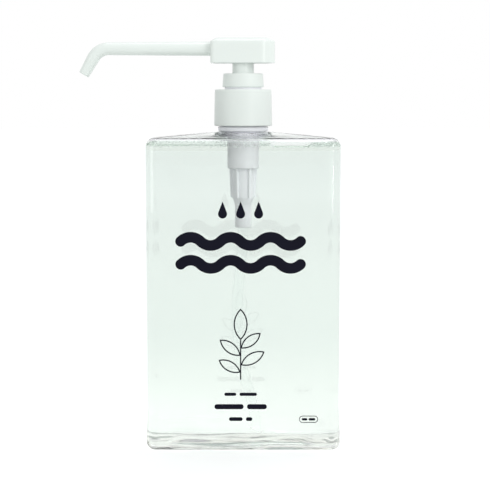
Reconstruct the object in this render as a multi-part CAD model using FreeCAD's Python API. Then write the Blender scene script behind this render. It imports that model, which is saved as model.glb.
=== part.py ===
# A pump bottle of clear dish soap. A rectangular clear bottle with a low hipped shoulder holds the
# soap. A screw closure clamps a lotion pump on its neck. The pump's long spout points along -X.
# Millimetres, +Z up, origin on the floor at the centre of the bottle's base, front face at -Y.
# The pump stands as it is shipped: its head is turned down and locked in the lock ring.
import FreeCAD, Part
import math
import os

V = FreeCAD.Vector
UP = V(0, 0, 1)
LEFT = V(-1, 0, 0)
TO_BACK = V(0, 1, 0)
TO_FRONT = V(0, -1, 0)

# Bottle body
body_width = 91.2
body_depth = 42.0
edge_z = 148.9          # level edge where the shoulder starts
corner_round = 5.0      # upright corners, seen from above
top_round = 4.4
heel_round = 3.8
wall = 0.9
floor_wall = 1.9
heel_flare = 0.6        # how far the foot stands proud at each end, left and right
heel_flare_z = 8.0
heel_blend = 13.0
shoulder_rise = 2.7     # from the level edge to the root of the neck
push_up = 1.6
push_up_margin = 9.0    # from the walls to the foot of the push-up
push_up_slope = 9.0     # width of the sloping rim of the push-up

# Bottle neck, a 24 mm screw finish
neck_r = 10.75
neck_bore_r = 9.3
neck_height = 15.6      # from the root of the neck to the lip
bead_r = 12.0
bead_height = 1.7
bead_gap = 0.4          # shoulder to bead, and bead to closure
thread_pitch = 3.175
thread_turns = 1.5
thread_depth = 1.05
thread_foot = 1.3
thread_crest = 0.6
thread_start = 6.0      # from the root of the neck to the start of its thread
thread_sink = 0.3       # how deep a ridge is rooted in its wall

# Contents
liquid_gap = 4.5        # from the level edge down to the liquid
liquid_film = 0.05      # gap between the liquid and the walls that hold it
housing_room = 0.2      # gap in the liquid round the pump housing
tube_room = 1.7         # and round the dip tube, which leans and is lifted straight up

# Closure
closure_r_top = 13.5
closure_r_bottom = 13.85
closure_roof = 1.6
closure_round = 0.5
closure_wall_room = 0.5  # neck thread to the closure's wall
closure_thread_room = 0.3  # closure thread to the neck's wall
gasket_thick = 1.0
gasket_room = 0.15

# Pump housing
flange_r = 11.3
flange_thick = 1.5
collar_r = 8.8          # stands up through the closure and carries the lock ring
collar_room = 0.1
barrel_r = 7.5
barrel_bore_r = 6.35
barrel_length = 34.2    # below the flange
barrel_floor = 1.2
vent_r = 0.6
core_r = 5.1
core_bore_r = 4.3
core_length = 13.8      # below the barrel
rib_count = 6
rib_thick = 0.9
rib_r_top = 6.55
rib_r_bottom = 6.0
cone_height = 3.6       # between the core and the tube socket
socket_wall = 0.88
socket_length = 10.7    # below the cone
socket_depth = 8.7
seat_floor = 2.4        # between the tube socket and the foot of the ball seat
seat_hole_r = 1.5
nub_count = 3
nub_thick = 1.2
nub_width = 1.0
nub_reach_r = 1.95      # how near to the axis the nubs over the ball reach
ball_r = 2.38
ball_room = 0.02        # ball to its 45 degree seat, and ball to the nubs
ball_lift = 1.2
ball_chamber_room = 0.5

# Lock ring
ring_gap = 1.1          # closure to the skirt of the lock ring
ring_height = 6.4
ring_roof = 1.3
ring_r_top = 9.4
ring_r_bottom = 9.9
ring_round = 0.35
ring_seat_r = 8.1       # top of the collar, where the skirt is pressed on
press_room = 0.02       # drawn gap of each press fit
guide_room = 0.1
guide_thick = 2.5

# Pump head with its hub
head_gap = 4.9          # lock ring to head, as shipped
head_length = 30.7
head_depth = 15.0
head_height = 12.0
head_top_round = 2.2
head_corner = 2.0
head_wall = 1.6
head_shift = -0.15      # middle of the head along X
hub_r = 5.15
hub_reach = 11.0        # how far the hub reaches into the lock ring
stem_grip = 19.0        # how far the stem is pressed up into the hub
channel_r = 1.75
boss_r = 3.9            # round the channel inside the head

# Spout
spout_rise = 6.8        # its axis above the underside of the head
spout_bend_x = -68.7    # where its two straight runs would meet
spout_r_head = 3.4
spout_r_bend = 3.05
spout_r_tip = 2.55
spout_bend_r = 8.4
spout_drop_angle = 60.0
spout_drop_length = 9.3
spigot_r = 2.5
spigot_length = 6.5

# Moving pump parts
travel = 15.0           # from locked down to fully up
travel_spare = 0.5
stem_r = 3.7
stem_bore_r = 2.2
piston_rest = 1.0       # piston to the barrel's floor, locked down
piston_height = 6.0
piston_lip = 1.3        # height of each sealing lip
piston_waist = 0.9      # how far the waist stands back from the lips
piston_bore_r = 2.6
piston_room = 0.03
piston_slip = 1.0       # play of the piston between the plug's head and the stem
plug_head_r = 4.0
plug_head_height = 2.2
plug_shank_r = 1.5
plug_press_length = 4.0
plug_core_r = 1.0
plug_slot = 1.2
plug_slots = 4
rest_room = 0.02        # drawn gap where moving pieces rest on one another
spring_wire = 0.8
spring_mean_r = 3.2
spring_coils = 8
spring_sides = 12       # its wire is drawn with flats and keeps a round wire's area

# Dip tube, bowed to the left and then to the right as it lies in the bottle
tube_r = 3.0
tube_wall = 0.75
tube_bow_radii = (154.0, 180.0, 120.0, 98.0)
tube_bow_angles = (-7.5, 7.5, 17.0, -13.0)
tube_end_gap = 3.5      # its end to the bottle's floor
tube_cut_angle = 25.0

# Print on the front face
ink = 0.12
print_x = -1.2          # middle of the print
wave_heights = (100.8, 90.0)
wave_stroke = 5.0
wave_arch_r = 6.6
wave_arch_angle = 45.0  # half the angle of one arch
wave_arches = 6
drop_row_z = 111.5
drop_spacing = 8.4
drop_r = 2.1
drop_height = 8.0
leaf_line = 0.6
leaf_stem = (35.0, 54.0)
leaves = (  # height on the stem, lean from upright in degrees, length, width
    (54.0, 0.0, 15.0, 6.6), (50.0, 52.0, 12.0, 5.0), (46.5, -52.0, 12.5, 5.2),
    (42.0, 60.0, 13.0, 5.4), (38.5, -60.0, 12.0, 5.0),
)
captions = ((28.0, 1.5, (5.6, 8.2)), (22.0, 2.4, (13.8, 9.4)), (16.0, 1.8, (6.4, 3.0)))  # z, height, bars
caption_space = 1.6
badge_x = 31.0
badge_z = 15.9
badge_width = 9.0
badge_height = 3.4
badge_line = 0.3
badge_bars = (2.6, 3.2)

# Places that follow from the sizes above
liquid_z = edge_z - liquid_gap
root_z = edge_z + shoulder_rise
bead_z = root_z + bead_gap
closure_z = bead_z + bead_height + bead_gap
lip_z = root_z + neck_height
flange_z = lip_z + gasket_thick
flange_top_z = flange_z + flange_thick
closure_top_z = flange_top_z + closure_roof
ring_z = closure_top_z + ring_gap
ring_top_z = ring_z + ring_height
collar_top_z = ring_top_z - ring_roof
barrel_bottom_z = flange_z - barrel_length
core_bottom_z = barrel_bottom_z - core_length
socket_bottom_z = core_bottom_z - cone_height - socket_length
head_z = ring_top_z + head_gap
spout_z = head_z + spout_rise
hub_z = ring_top_z - hub_reach
stem_top_z = hub_z + stem_grip
piston_bottom_z = barrel_bottom_z + barrel_floor + piston_rest
piston_top_z = piston_bottom_z + piston_height
stem_bottom_z = piston_top_z + piston_slip + rest_room
guide_z = stem_bottom_z + travel + travel_spare
plug_top_z = piston_bottom_z - rest_room
socket_stop_z = socket_bottom_z + socket_depth
seat_z = socket_stop_z + seat_floor
ball_contact = ball_r * math.sqrt(0.5)
ball_z = seat_z + ball_contact - seat_hole_r + ball_contact + ball_room
ball_chamber_r = ball_r + ball_chamber_room
nub_z = ball_z + ball_lift + math.sqrt(ball_r ** 2 - nub_reach_r ** 2) + ball_room
spring_seat_z = nub_z + nub_thick
closure_bore_r = neck_r + thread_depth + closure_wall_room
front_y = -body_depth / 2


def rounded_rectangle(width, depth, corner, z):
    """Arcs and sides of a level rounded rectangle, from its right-hand side round to the left."""
    x, y = width / 2 - corner, depth / 2 - corner
    arcs = []
    for i, (sx, sy) in enumerate(((1, 1), (-1, 1), (-1, -1), (1, -1))):
        turn = math.pi / 2 * i
        at = [V(sx * x + corner * math.cos(turn + t), sy * y + corner * math.sin(turn + t), z)
              for t in (0, math.pi / 4, math.pi / 2)]
        arcs.append(Part.Arc(*at).toShape())
    edges = []
    for i, arc in enumerate(arcs):
        edges.append(arc)
        edges.append(Part.makeLine(arc.Vertexes[-1].Point, arcs[(i + 1) % 4].Vertexes[0].Point))
    return edges


def rectangle_wire(width, depth, corner, z):
    return Part.Wire(rounded_rectangle(width, depth, corner, z))


def matched_circle(radius, width, depth, corner, z):
    """A circle cut at the bearings of a rounded rectangle's corners, so that a loft pairs them."""
    bearings = []
    for edge in rounded_rectangle(width, depth, corner, z):
        start = edge.Vertexes[0].Point
        bearings.append(math.atan2(start.y, start.x) % (2 * math.pi))
    arcs = []
    for i, start in enumerate(bearings):
        end = bearings[(i + 1) % len(bearings)]
        if end < start:
            end += 2 * math.pi
        at = [V(radius * math.cos(t), radius * math.sin(t), z) for t in (start, (start + end) / 2, end)]
        arcs.append(Part.Arc(*at).toShape())
    return Part.Wire(arcs)


def slab(width, depth, corner, z0, z1):
    return Part.Face(rectangle_wire(width, depth, corner, z0)).extrude(UP * (z1 - z0))


def ruled(lower, upper):
    return Part.makeLoft([lower, upper], True, True)


def cylinder(radius, z0, z1):
    return Part.makeCylinder(radius, z1 - z0, V(0, 0, z0))


def turned(outline):
    """A solid turned about the Z axis from (radius, height) points."""
    points = [V(r, 0, z) for r, z in outline]
    return Part.Face(Part.makePolygon(points + points[:1])).revolve(V(0, 0, 0), UP, 360)


def level_edges(shape, z):
    """The edges of a shape that lie flat at height z."""
    return [e for e in shape.Edges if all(abs(v.Point.z - z) < 1e-6 for v in e.Vertexes)]


def level_rims(shape, z, above_r):
    """The circles at height z that are wider than above_r."""
    return [e for e in level_edges(shape, z) if e.BoundBox.XMax > above_r]


def fused(solids):
    if len(solids) == 1:
        return solids[0]
    return solids[0].fuse(solids[1:]).removeSplitter()


def around(solid, count):
    """Copies of a solid, evenly spaced about the Z axis."""
    copies = []
    for i in range(count):
        copy = solid.copy()
        copy.rotate(V(0, 0, 0), UP, 360 / count * i)
        copies.append(copy)
    return copies


def ridge(radius, depth, start_z):
    """A right-hand thread ridge on a wall of this radius. A negative depth stands inwards."""
    root = radius - math.copysign(thread_sink, depth)
    foot, crest = thread_foot / 2, thread_crest / 2
    outline = [V(root, 0, -foot), V(radius + depth, 0, -crest), V(radius + depth, 0, crest), V(root, 0, foot)]
    helix = Part.makeHelix(thread_pitch, thread_pitch * thread_turns, radius)
    ridge = Part.Wire(helix.Edges).makePipeShell([Part.makePolygon(outline + outline[:1])], True, True)
    ridge.translate(V(0, 0, start_z))
    return ridge


def bowed_rod(radius, start, heading, steps):
    """A round rod in the XZ plane, made of straight runs (length, 0) and arcs (radius, turn). The
    heading is in degrees from +X towards +Z. Gives the rod, its end and its last heading."""
    solids = []
    at = V(*start)
    for size, turn in steps:
        along = V(math.cos(math.radians(heading)), 0, math.sin(math.radians(heading)))
        disc = Part.Face(Part.Wire(Part.makeCircle(radius, at, along)))
        if turn == 0:
            solids.append(disc.extrude(along * size))
            at = at + along * size
            continue
        side = math.copysign(1, turn)
        centre = at + V(-along.z, 0, along.x) * (size * side)
        solids.append(disc.revolve(centre, TO_FRONT * side, abs(turn)))
        at = FreeCAD.Rotation(TO_FRONT, turn).multVec(at - centre) + centre
        heading += turn
    return fused(solids), at, heading


def body_block(inset, floor_z):
    """The body as a block under the shoulder, or the space inside it at an inset from the walls."""
    size = (body_width - 2 * inset, body_depth - 2 * inset, corner_round - inset)
    block = slab(*size, floor_z, edge_z - inset)
    return block.makeFillet(top_round - inset, level_edges(block, edge_z - inset))


def body_space(inset, floor_z):
    """The space inside the body, over its pushed-up floor."""
    space = body_block(inset, floor_z)
    space = space.makeFillet(heel_round - inset, level_edges(space, floor_z))
    return space.cut(push_up_form(floor_z, push_up_margin - inset))


def shoulder(inset, radius):
    """The low hip roof from the body's flat top to the neck."""
    edge = top_round
    flat = (body_width - 2 * edge, body_depth - 2 * edge, corner_round - edge)
    return ruled(rectangle_wire(*flat, edge_z - inset), matched_circle(radius, *flat, root_z - inset))


def push_up_form(z, margin):
    """The low frustum that the base is pushed up by."""
    width, depth = body_width - 2 * margin, body_depth - 2 * margin
    top = (width - 2 * push_up_slope, depth - push_up_slope, corner_round / 2)
    return ruled(rectangle_wire(width, depth, corner_round, z), rectangle_wire(*top, z + push_up))


def bottle():
    body = (body_width, body_depth, corner_round)
    flared = (body_width + 2 * heel_flare, body_depth, corner_round)
    foot = slab(*flared, 0, heel_flare_z)
    foot = foot.makeFillet(heel_round, level_edges(foot, 0))
    blend = ruled(rectangle_wire(*flared, heel_flare_z), rectangle_wire(*body, heel_flare_z + heel_blend))
    neck = cylinder(neck_r, root_z - wall, lip_z)
    bead = cylinder(bead_r, bead_z, bead_z + bead_height)
    outside = fused([body_block(0, heel_flare_z), foot, blend, shoulder(0, bead_r), neck, bead])
    outside = outside.fuse(ridge(neck_r, thread_depth, root_z + thread_start))
    bore = cylinder(neck_bore_r, edge_z - 2 * wall, lip_z)
    inside = body_space(wall, floor_wall).fuse([shoulder(wall, neck_bore_r), bore])
    return outside.cut(inside).cut(push_up_form(0, push_up_margin))


def dip_tube_rod(radius, top_z):
    """The path of the dip tube: straight in its socket, then bowed down to just above the floor."""
    drop = 0
    heading = -90
    for size, turn in zip(tube_bow_radii, tube_bow_angles):
        before, after = math.cos(math.radians(heading)), math.cos(math.radians(heading + turn))
        drop += abs(size * (after - before))
        heading += turn
    straight = top_z - drop - floor_wall - tube_end_gap
    return bowed_rod(radius, (0, 0, top_z), -90, [(straight, 0)] + list(zip(tube_bow_radii, tube_bow_angles)))


def dip_tube():
    rod, end, heading = dip_tube_rod(tube_r, socket_stop_z)
    tube = rod.cut(dip_tube_rod(tube_r - tube_wall, socket_stop_z)[0])
    reach = 4 * tube_r
    knife = Part.makeBox(2 * reach, 2 * reach, reach, V(-reach, -reach, -reach))
    knife.rotate(V(0, 0, 0), TO_FRONT, heading + 90 + tube_cut_angle)
    back = tube_r * math.tan(math.radians(tube_cut_angle))
    along = V(math.cos(math.radians(heading)), 0, math.sin(math.radians(heading)))
    knife.translate(end - along * back)
    return tube.cut(knife)


def liquid_soap():
    soap = body_space(wall + liquid_film, floor_wall + liquid_film)
    top = edge_z - liquid_z
    soap = soap.cut(Part.makeBox(body_width, body_depth, top, V(-body_width / 2, front_y, liquid_z)))
    room = housing_room
    soap = soap.cut(cylinder(barrel_r + room, barrel_bottom_z - room, liquid_z))
    soap = soap.cut(cylinder(rib_r_top + room, core_bottom_z - cone_height - room, barrel_bottom_z))
    return soap.cut(dip_tube_rod(tube_r + tube_room, core_bottom_z)[0])


def closure():
    hole = collar_r + collar_room
    shell = turned([
        (closure_bore_r, closure_z), (closure_r_bottom, closure_z), (closure_r_top, closure_top_z),
        (hole, closure_top_z), (hole, flange_top_z), (closure_bore_r, flange_top_z),
    ])
    rims = level_rims(shell, closure_top_z, hole + closure_roof)
    rims += level_rims(shell, closure_z, closure_bore_r + closure_round)
    shell = shell.makeFillet(closure_round, rims)
    depth = thread_depth + closure_wall_room - closure_thread_room
    return shell.fuse(ridge(closure_bore_r, -depth, root_z + thread_start - thread_pitch / 2))


def neck_gasket():
    gasket = cylinder(neck_r, lip_z, flange_z)
    return gasket.cut(cylinder(barrel_r + gasket_room, lip_z, flange_z))


def housing():
    socket_r = tube_r + press_room + socket_wall
    cone_z = core_bottom_z - cone_height
    body = turned([
        (0, socket_bottom_z), (socket_r, socket_bottom_z), (socket_r, cone_z), (core_r, core_bottom_z),
        (core_r, barrel_bottom_z), (barrel_r, barrel_bottom_z), (barrel_r, flange_z),
        (flange_r, flange_z), (flange_r, flange_top_z), (collar_r, flange_top_z),
        (collar_r, ring_z), (ring_seat_r, ring_z), (ring_seat_r, collar_top_z), (0, collar_top_z),
    ])
    space = turned([
        (0, socket_bottom_z), (tube_r + press_room, socket_bottom_z), (tube_r + press_room, socket_stop_z),
        (seat_hole_r, socket_stop_z), (seat_hole_r, seat_z),
        (ball_chamber_r, seat_z + ball_chamber_r - seat_hole_r), (ball_chamber_r, spring_seat_z),
        (core_bore_r, spring_seat_z), (core_bore_r, barrel_bottom_z + barrel_floor),
        (barrel_bore_r, barrel_bottom_z + barrel_floor), (barrel_bore_r, collar_top_z),
        (0, collar_top_z),
    ])
    root = core_r - thread_sink
    blade = [V(root, 0, core_bottom_z), V(rib_r_bottom, 0, core_bottom_z), V(rib_r_top, 0, barrel_bottom_z),
             V(root, 0, barrel_bottom_z)]
    rib = Part.Face(Part.makePolygon(blade + blade[:1])).extrude(TO_BACK * rib_thick)
    rib.translate(TO_FRONT * (rib_thick / 2))
    nub_length = ball_chamber_r - nub_reach_r + thread_sink
    nub = Part.makeBox(nub_length, nub_width, nub_thick, V(nub_reach_r, -nub_width / 2, nub_z))
    vent_z = piston_bottom_z + travel + piston_height / 2
    vent = Part.makeCylinder(vent_r, barrel_r, V(0, 0, vent_z), TO_BACK)
    body = fused([body] + around(rib, rib_count)).cut(space)
    return fused([body] + around(nub, nub_count)).cut(vent)


def lock_ring():
    sleeve_r = barrel_bore_r - press_room
    skirt_r = ring_seat_r + press_room
    lock_bore_r = hub_r + guide_room
    guide_bore_r = stem_r + guide_room
    ring = turned([
        (guide_bore_r, guide_z), (sleeve_r, guide_z), (sleeve_r, collar_top_z), (skirt_r, collar_top_z),
        (skirt_r, ring_z), (ring_r_bottom, ring_z), (ring_r_top, ring_top_z), (lock_bore_r, ring_top_z),
        (lock_bore_r, guide_z + guide_thick), (guide_bore_r, guide_z + guide_thick),
    ])
    rims = level_rims(ring, ring_top_z, ring_r_top - ring_round)
    rims += level_rims(ring, ring_z, ring_r_bottom - ring_round)
    return ring.makeFillet(ring_round, rims)


def inlet_ball():
    return Part.makeSphere(ball_r, V(0, 0, ball_z))


def return_spring():
    low = spring_seat_z + rest_room + spring_wire / 2
    high = plug_top_z - plug_head_height - rest_room - spring_wire / 2
    helix = Part.makeHelix((high - low) / spring_coils, high - low, spring_mean_r)
    step = 2 * math.pi / spring_sides
    corner_r = spring_wire / 2 * math.sqrt(step / math.sin(step))
    angles = [(i + 0.5) * step for i in range(spring_sides + 1)]
    corners = [V(spring_mean_r + corner_r * math.cos(a), 0, corner_r * math.sin(a)) for a in angles]
    wire = Part.makePolygon(corners[:-1] + corners[:1])
    spring = Part.Wire(helix.Edges).makePipeShell([wire], True, True)
    spring.translate(V(0, 0, low))
    return spring


def piston():
    lip_r = barrel_bore_r - piston_room
    waist_r = lip_r - piston_waist
    low, high = piston_bottom_z + piston_lip, piston_top_z - piston_lip
    return turned([
        (piston_bore_r, piston_bottom_z), (lip_r, piston_bottom_z), (lip_r, low),
        (waist_r, low + piston_waist), (waist_r, high - piston_waist), (lip_r, high),
        (lip_r, piston_top_z), (piston_bore_r, piston_top_z),
    ])


def piston_rod():
    """The plug whose head lifts the piston. Its slotted top is pressed into the stem."""
    press_r = stem_bore_r - press_room
    top = stem_bottom_z + plug_press_length
    rod = turned([
        (0, plug_top_z - plug_head_height), (plug_head_r, plug_top_z - plug_head_height),
        (plug_head_r, plug_top_z), (plug_shank_r, plug_top_z), (plug_shank_r, stem_bottom_z),
        (press_r, stem_bottom_z), (press_r, top), (0, top),
    ])
    slot = Part.makeBox(stem_bore_r, plug_slot, plug_press_length, V(plug_core_r, -plug_slot / 2, stem_bottom_z))
    return rod.cut(around(slot, plug_slots))


def stem():
    return cylinder(stem_r, stem_bottom_z, stem_top_z).cut(cylinder(stem_bore_r, stem_bottom_z, stem_top_z))


def head_plan(inset, z):
    """The head seen from above: square at the spout's end, half round at the other."""
    x0 = head_shift - head_length / 2 + inset
    half = head_depth / 2 - inset
    x1 = head_shift + head_length / 2 - head_depth / 2
    c = head_corner - inset / 2
    slant = c * (1 - math.sqrt(0.5))
    arcs = [
        Part.Arc(V(x1, -half, z), V(x1 + half, 0, z), V(x1, half, z)).toShape(),
        Part.Arc(V(x0 + c, half, z), V(x0 + slant, half - slant, z), V(x0, half - c, z)).toShape(),
        Part.Arc(V(x0, c - half, z), V(x0 + slant, slant - half, z), V(x0 + c, -half, z)).toShape(),
    ]
    edges = []
    for i, arc in enumerate(arcs):
        edges.append(arc)
        edges.append(Part.makeLine(arc.Vertexes[-1].Point, arcs[(i + 1) % 3].Vertexes[0].Point))
    return Part.Wire(edges)


def actuator_head():
    top = head_z + head_height
    shell = Part.Face(head_plan(0, head_z)).extrude(UP * head_height)
    shell = shell.makeFillet(head_top_round, level_edges(shell, top))
    shell = shell.cut(Part.Face(head_plan(head_wall, head_z)).extrude(UP * (head_height - head_wall)))
    end_x = head_shift - head_length / 2
    hub = cylinder(hub_r, hub_z, top - head_wall)
    boss = Part.makeCylinder(boss_r, -end_x - head_wall / 2, V(0, 0, spout_z), LEFT)
    space = cylinder(boss_r * 2, top - head_wall / 2, top + head_wall)
    head = fused([shell, hub, boss.cut(space)])
    head = head.cut(cylinder(stem_r + press_room, hub_z, stem_top_z))
    head = head.cut(cylinder(channel_r, stem_top_z, spout_z))
    head = head.cut(Part.makeCylinder(channel_r, -end_x, V(0, 0, spout_z), LEFT))
    head = head.cut(Part.makeSphere(channel_r, V(0, 0, spout_z)))
    mouth = V(end_x + spigot_length, 0, spout_z)
    return head.cut(Part.makeCylinder(spigot_r + press_room, spigot_length, mouth, LEFT))


def nozzle_tube():
    end_x = head_shift - head_length / 2
    tangent = spout_bend_r * math.tan(math.radians(spout_drop_angle / 2))
    bend_x = spout_bend_x + tangent
    drop = V(-math.cos(math.radians(spout_drop_angle)), 0, -math.sin(math.radians(spout_drop_angle)))
    start = V(bend_x, 0, spout_z)
    bend, bend_end, heading = bowed_rod(spout_r_bend, start, 180, ((spout_bend_r, spout_drop_angle),))
    spigot_x = end_x + spigot_length - rest_room
    outside = fused([
        Part.makeCylinder(spigot_r, spigot_x - end_x, V(spigot_x, 0, spout_z), LEFT),
        Part.makeCone(spout_r_head, spout_r_bend, end_x - bend_x, V(end_x, 0, spout_z), LEFT),
        bend,
        Part.makeCone(spout_r_bend, spout_r_tip, spout_drop_length, bend_end, drop),
    ])
    steps = ((spigot_x - bend_x, 0), (spout_bend_r, spout_drop_angle), (spout_drop_length, 0))
    return outside.cut(bowed_rod(channel_r, (spigot_x, 0, spout_z), 180, steps)[0])


def on_front(x, z):
    return V(x, front_y, z)


def front_arc(x, z, radius, start, end):
    """An arc on the front face. Angles are in degrees from +X towards +Z."""
    turns = [math.radians(t) for t in (start, (start + end) / 2, end)]
    at = [on_front(x + radius * math.cos(t), z + radius * math.sin(t)) for t in turns]
    return Part.Arc(*at).toShape()


def closed_face(arcs):
    """A face on the front of the bottle whose outline runs along arcs joined by straight lines."""
    edges = []
    for i, arc in enumerate(arcs):
        start, end = arc.Vertexes[-1].Point, arcs[(i + 1) % len(arcs)].Vertexes[0].Point
        edges.append(arc)
        if start.distanceToPoint(end) > 1e-6:
            edges.append(Part.makeLine(start, end))
    return Part.Face(Part.Wire(edges))


def inked(faces):
    """The ink on a group of faces that touch or overlap, as one piece."""
    return fused([face.extrude(TO_FRONT * ink) for face in faces])


def pill(x0, x1, z, height):
    r = height / 2
    return closed_face([front_arc(x0 + r, z, r, 90, 270), front_arc(x1 - r, z, r, 270, 450)])


def wave_band(z):
    """One bold wave: arches of equal arcs, bent up and down in turn, with round ends."""
    half = wave_stroke / 2
    chord = 2 * wave_arch_r * math.sin(math.radians(wave_arch_angle))
    drop = wave_arch_r * math.cos(math.radians(wave_arch_angle))
    faces = []
    for i in range(wave_arches):
        x = (i + 0.5 - wave_arches / 2) * chord + print_x
        up = 1 if i % 2 == 0 else -1
        start, end = up * (90 - wave_arch_angle), up * (90 + wave_arch_angle)
        outer = front_arc(x, z - up * drop, wave_arch_r + half, start, end)
        inner = front_arc(x, z - up * drop, wave_arch_r - half, end, start)
        faces.append(closed_face([outer, inner]))
    for side in (-1, 1):
        x = print_x + side * wave_arches / 2 * chord
        faces.append(closed_face([front_arc(x, z, half, 0, 180), front_arc(x, z, half, 180, 360)]))
    return inked(faces)


def drop_shape(x, z):
    """A drop: a round belly with two straight sides that meet in its tip."""
    reach = drop_height - drop_r
    lean = math.degrees(math.acos(drop_r / reach))
    belly = front_arc(x, z, drop_r, 90 + lean, 450 - lean)
    tip = on_front(x, z + reach)
    sides = [Part.makeLine(belly.Vertexes[-1].Point, tip), Part.makeLine(tip, belly.Vertexes[0].Point)]
    return inked([Part.Face(Part.Wire([belly] + sides))])


def leaf_face(x, z, length, width, lean):
    """A pointed leaf round its middle point: two equal arcs that meet in its tips."""
    t = math.radians(90 - lean)
    along, across = (math.cos(t), math.sin(t)), (-math.sin(t), math.cos(t))
    ends = [on_front(x + s * length / 2 * along[0], z + s * length / 2 * along[1]) for s in (-1, 1)]
    sides = [on_front(x + s * width / 2 * across[0], z + s * width / 2 * across[1]) for s in (-1, 1)]
    arcs = [Part.Arc(ends[0], sides[0], ends[1]).toShape(), Part.Arc(ends[1], sides[1], ends[0]).toShape()]
    return Part.Face(Part.Wire(arcs))


def leaf(z, lean, length, width):
    """The thin outline of a leaf that grows from the stem. Its inner arcs keep the outer ones'
    centres, with a radius smaller by the line's width."""
    t = math.radians(90 - lean)
    x, z = print_x + length / 2 * math.cos(t), z + length / 2 * math.sin(t)
    arc_r = length ** 2 / (4 * width) + width / 4
    inner_half = math.sqrt((arc_r - leaf_line) ** 2 - (arc_r - width / 2) ** 2)
    inner = leaf_face(x, z, 2 * inner_half, width - 2 * leaf_line, lean)
    return leaf_face(x, z, length, width, lean).cut(inner)


def sprig():
    """A thin stem with leaves, as one outline."""
    low, high = leaf_stem
    stalk = Part.makeBox(leaf_line, ink, high - low, V(print_x - leaf_line / 2, front_y - ink, low))
    return fused([stalk] + [inked([leaf(*sizes)]) for sizes in leaves])


def bar_row(x, z, height, lengths, space):
    """Plain rounded bars in a row, centred on x."""
    left = x - (sum(lengths) + space * (len(lengths) - 1)) / 2
    bars = []
    for length in lengths:
        bars.append(inked([pill(left, left + length, z, height)]))
        left += length + space
    return bars


def badge():
    x0, x1 = badge_x - badge_width / 2, badge_x + badge_width / 2
    inner = pill(x0 + badge_line, x1 - badge_line, badge_z, badge_height - 2 * badge_line)
    frame = pill(x0, x1, badge_z, badge_height).cut(inner)
    return [inked([frame])] + bar_row(badge_x, badge_z, badge_height / 3, badge_bars, badge_line * 2)


def front_print():
    motifs = [wave_band(z) for z in wave_heights]
    motifs += [drop_shape(print_x + i * drop_spacing, drop_row_z + drop_r) for i in (-1, 0, 1)]
    motifs.append(sprig())
    for z, height, lengths in captions:
        motifs += bar_row(print_x, z, height, lengths, caption_space)
    motifs += badge()
    return Part.makeCompound([solid for motif in motifs for solid in motif.Solids])


NODES = (
    bottle, liquid_soap, front_print, closure, neck_gasket, housing, lock_ring, dip_tube, inlet_ball,
    return_spring, piston, piston_rod, stem, actuator_head, nozzle_tube,
)

os.makedirs("parts", exist_ok=True)
for node in NODES:
    node().exportStep("parts/" + node.__name__ + ".step")
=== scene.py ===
"""Looks of a clear pump bottle of dish soap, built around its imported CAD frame.

Metres, +Z up, the front at -Y, the pump's axis on Z. Every surface is a grid of points worked out
with numpy. The bottle is a closed clear shell, the soap a clear block that reaches a hair into its
walls, and the pump stands in the soap.
"""

import math

import bmesh
import bpy
import numpy as np
from bpy.props import FloatProperty, FloatVectorProperty, IntProperty, PointerProperty
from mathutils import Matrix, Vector


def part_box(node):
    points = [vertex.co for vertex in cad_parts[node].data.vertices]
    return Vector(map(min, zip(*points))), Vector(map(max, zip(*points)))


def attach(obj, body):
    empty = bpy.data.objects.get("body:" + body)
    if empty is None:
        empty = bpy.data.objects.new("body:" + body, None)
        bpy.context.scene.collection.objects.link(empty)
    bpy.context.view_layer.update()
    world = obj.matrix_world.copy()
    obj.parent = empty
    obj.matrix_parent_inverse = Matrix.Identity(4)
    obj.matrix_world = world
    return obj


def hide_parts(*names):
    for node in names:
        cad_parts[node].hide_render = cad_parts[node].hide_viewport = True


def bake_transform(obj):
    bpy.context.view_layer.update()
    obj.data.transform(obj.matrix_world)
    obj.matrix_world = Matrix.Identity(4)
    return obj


bl_info = {
    "name": "Clear pump bottle",
    "version": (1, 0, 0),
    "blender": (4, 5, 0),
    "location": "View3D > Sidebar > Pump Bottle",
    "description": "Builds the surfaces, finishes and studio of a clear dish soap bottle with a lotion pump",
    "category": "Object",
}

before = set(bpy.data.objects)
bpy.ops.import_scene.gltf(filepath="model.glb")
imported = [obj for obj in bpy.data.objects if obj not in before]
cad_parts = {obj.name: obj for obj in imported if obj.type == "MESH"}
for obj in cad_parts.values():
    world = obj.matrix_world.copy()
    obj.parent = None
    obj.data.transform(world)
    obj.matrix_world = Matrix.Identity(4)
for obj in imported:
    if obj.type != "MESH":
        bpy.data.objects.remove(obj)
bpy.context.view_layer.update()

AROUND = 96  # points round a turned piece
CORNER_STEPS = 10  # steps round each upright corner of the body
LONG_STEPS = 44  # steps along the front and the back
SHORT_STEPS = 18  # steps along each end
BASE_RIM = 0.009  # width of the heel that lies outside the base's rim
HAIR = 0.00005  # a gap or overlap that is too small to see
HEAD_X = -0.00015  # middle of the head along X
HEAD_WALL = 0.0016  # wall of the head
SPOUT_PRESSED_IN = 0.00648  # how far the spout reaches into the head
SPOUT_BORE = 0.00175  # radius of the channel to the mouth
GUIDE_Z = 0.15872  # lower end of the lock ring's guide in the housing

# Painted shade on the soap's surface: its colour at shares of the body's height, between the foot and the
# edge, lighter low down and greyer higher up.
SOAP_PAINTED_SHADE = (
    (0.22, (0.925, 0.93, 0.905, 1)), (0.35, (0.85, 0.868, 0.845, 1)),
    (0.65, (0.85, 0.865, 0.84, 1)))

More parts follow.
